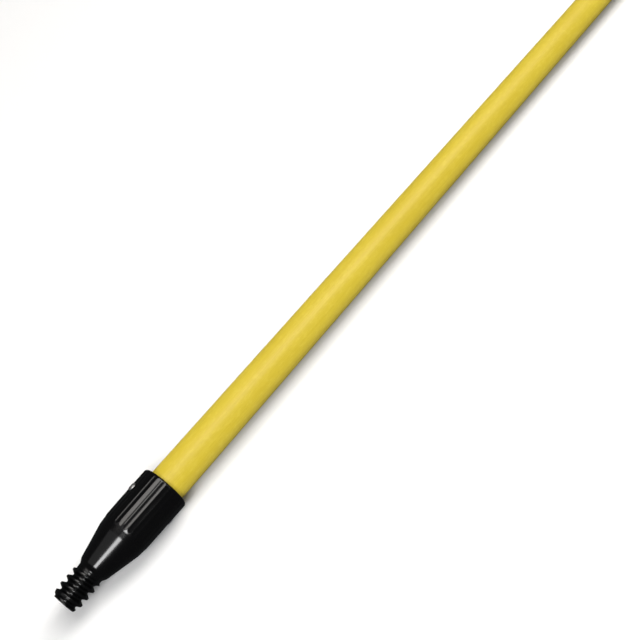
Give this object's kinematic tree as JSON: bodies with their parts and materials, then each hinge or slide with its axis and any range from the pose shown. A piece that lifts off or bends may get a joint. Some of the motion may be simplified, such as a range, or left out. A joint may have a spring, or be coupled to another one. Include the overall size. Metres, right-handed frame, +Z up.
{
  "type": "roller extension pole",
  "caption": "Telescoping fibreglass pole with a screw-thread tip for a paint roller frame, an external twist lock, a rubber hand grip and a flared butt cap.",
  "frame": {"origin": "centre of the butt cap's flat end face, on the pole's axis", "axes": "+X along the pole from the butt towards the threaded tip; +Z up with the pole lying down; the hanging hole runs along Y"},
  "size_m": [1.6798, 0.047, 0.047],
  "materials": {
    "outer_tube": "satin pultruded fibreglass with polyester resin, yellow",
    "inner_tube": "satin pultruded fibreglass with polyester resin, yellow",
    "tip": "glossy moulded black nylon",
    "butt_cap": "moulded black polypropylene",
    "grip_rubber": "matt black ribbed rubber",
    "lock_sleeve": "moulded black nylon",
    "lock_nut": "moulded black nylon",
    "nut_rubber": "matt black thermoplastic rubber",
    "wiper_rubber": "matt black rubber",
    "clamp_ring": "natural acetal",
    "bushing": "natural acetal",
    "guide_sleeve": "black nylon",
    "inner_plug": "black nylon",
    "clip_steel": "spring steel",
    "washer_steel": "zinc plated steel",
    "screw_steel": "zinc plated steel",
    "rivet_aluminium": "bright aluminium",
    "rivet_steel": "plain steel"
  },
  "bodies": {
    "outer_section": {"outer_tube": "outer_tube", "butt_cap": "butt_cap", "hand_grip": "grip_rubber", "lock_sleeve": "lock_sleeve", "sleeve_screws": "screw_steel", "stop_clip": "clip_steel"},
    "clamp": {"clamp_ring": "clamp_ring"},
    "nut": {"lock_nut": "lock_nut", "nut_grip": "nut_rubber", "wiper_ring": "wiper_rubber"},
    "bushing": {"guide_bushing": "bushing"},
    "inner_section": {"inner_tube": "inner_tube", "guide_sleeve": "guide_sleeve", "inner_plug": "inner_plug", "plug_pin": "clip_steel", "retaining_washer": "washer_steel", "retaining_screw": "screw_steel", "threaded_tip": "tip", "tip_rivet_bodies": "rivet_aluminium", "tip_rivet_stems": "rivet_steel"}
  },
  "joints": [
    {"name": "clamp_travel", "type": "slide", "parent": "outer_section", "child": "clamp", "axis": [1, 0, 0], "range_m": [0, 0.003]},
    {"name": "lock_twist", "type": "hinge", "parent": "clamp", "child": "nut", "pos_m": [0.9, 0, 0], "axis": [1, 0, 0], "range_deg": [0, 180]},
    {"name": "extension_slide", "type": "slide", "parent": "outer_section", "child": "bushing", "axis": [1, 0, 0], "range_m": [-0.644, 0.104]},
    {"name": "section_turn", "type": "hinge", "parent": "bushing", "child": "inner_section", "pos_m": [0.9, 0, 0], "axis": [1, 0, 0], "continuous": true}
  ],
  "couplings": [
    {"joint": "clamp_travel", "follows": "lock_twist", "m_per_rad": 0.000954}
  ]
}
